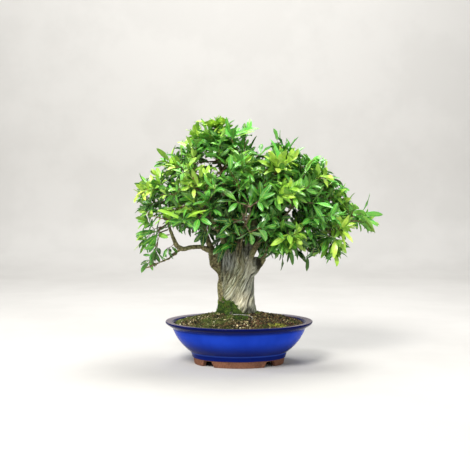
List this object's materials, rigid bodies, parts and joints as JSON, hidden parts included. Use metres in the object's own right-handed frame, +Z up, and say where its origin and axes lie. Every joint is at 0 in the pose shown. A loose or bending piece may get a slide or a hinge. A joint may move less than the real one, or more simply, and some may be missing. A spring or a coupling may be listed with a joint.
{
  "type": "pomegranate bonsai",
  "caption": "Pomegranate bonsai with a thick furrowed trunk and a broad leafy crown, in an oval blue-glazed pot on low feet.",
  "frame": {"origin": "middle of the bounding box, on the surface the pot stands on", "axes": "+Z up; -Y is the front of the tree, and X runs along the long axis of the oval pot, with +X to the viewer's right"},
  "size_m": [0.5252, 0.32, 0.5252],
  "materials": {
    "glaze": "gloss",
    "soil": "matte",
    "wood": "matte",
    "leaf": "satin",
    "young_leaf": "satin",
    "screen": "matte",
    "wire": "satin"
  },
  "bodies": {
    "root": {"pot": "glaze", "soil": "soil", "trunk": "wood", "drain_screen_left": "screen", "screen_staple_left": "wire", "drain_screen_right": "screen", "screen_staple_right": "wire", "shoot_apex_1": "young_leaf", "shoot_right_tip_1": "leaf", "shoot_left_low_1": "leaf", "shoot_front_mid_1": "leaf", "shoot_back_mid_1": "young_leaf", "shoot_back_left_1": "leaf", "shoot_left_front_1": "leaf", "shoot_right_front_1": "leaf", "shoot_back_mid_2": "young_leaf", "shoot_front_right_1": "leaf", "shoot_back_right_1": "leaf", "shoot_left_front_2": "leaf", "shoot_front_mid_2": "young_leaf", "shoot_left_mid_1": "leaf", "shoot_back_left_2": "leaf", "shoot_left_high_1": "leaf", "shoot_right_front_2": "young_leaf", "shoot_right_mid_1": "leaf", "shoot_left_front_3": "leaf", "shoot_back_left_3": "leaf", "shoot_right_low_1": "young_leaf", "shoot_top_right_1": "leaf", "shoot_apex_2": "leaf", "shoot_right_mid_2": "leaf", "shoot_back_mid_3": "young_leaf", "shoot_left_low_2": "leaf", "shoot_front_mid_3": "leaf", "shoot_back_right_2": "leaf", "shoot_front_right_2": "young_leaf", "shoot_front_mid_4": "leaf", "shoot_front_right_3": "leaf", "shoot_right_front_3": "leaf", "shoot_left_front_4": "young_leaf", "shoot_back_left_4": "leaf", "shoot_top_mid_1": "leaf", "shoot_back_right_3": "leaf", "shoot_right_high_1": "young_leaf", "shoot_apex_3": "leaf", "shoot_back_right_4": "leaf", "shoot_left_high_2": "leaf", "shoot_left_mid_2": "young_leaf", "shoot_top_right_2": "leaf", "shoot_front_mid_5": "leaf", "shoot_left_front_5": "leaf", "shoot_front_mid_6": "young_leaf", "shoot_right_high_2": "leaf", "shoot_back_left_5": "leaf", "shoot_left_front_6": "leaf", "shoot_left_low_3": "young_leaf", "shoot_left_front_7": "leaf", "shoot_back_mid_4": "leaf", "shoot_back_left_6": "leaf", "shoot_right_front_4": "young_leaf"}
  },
  "joints": []
}
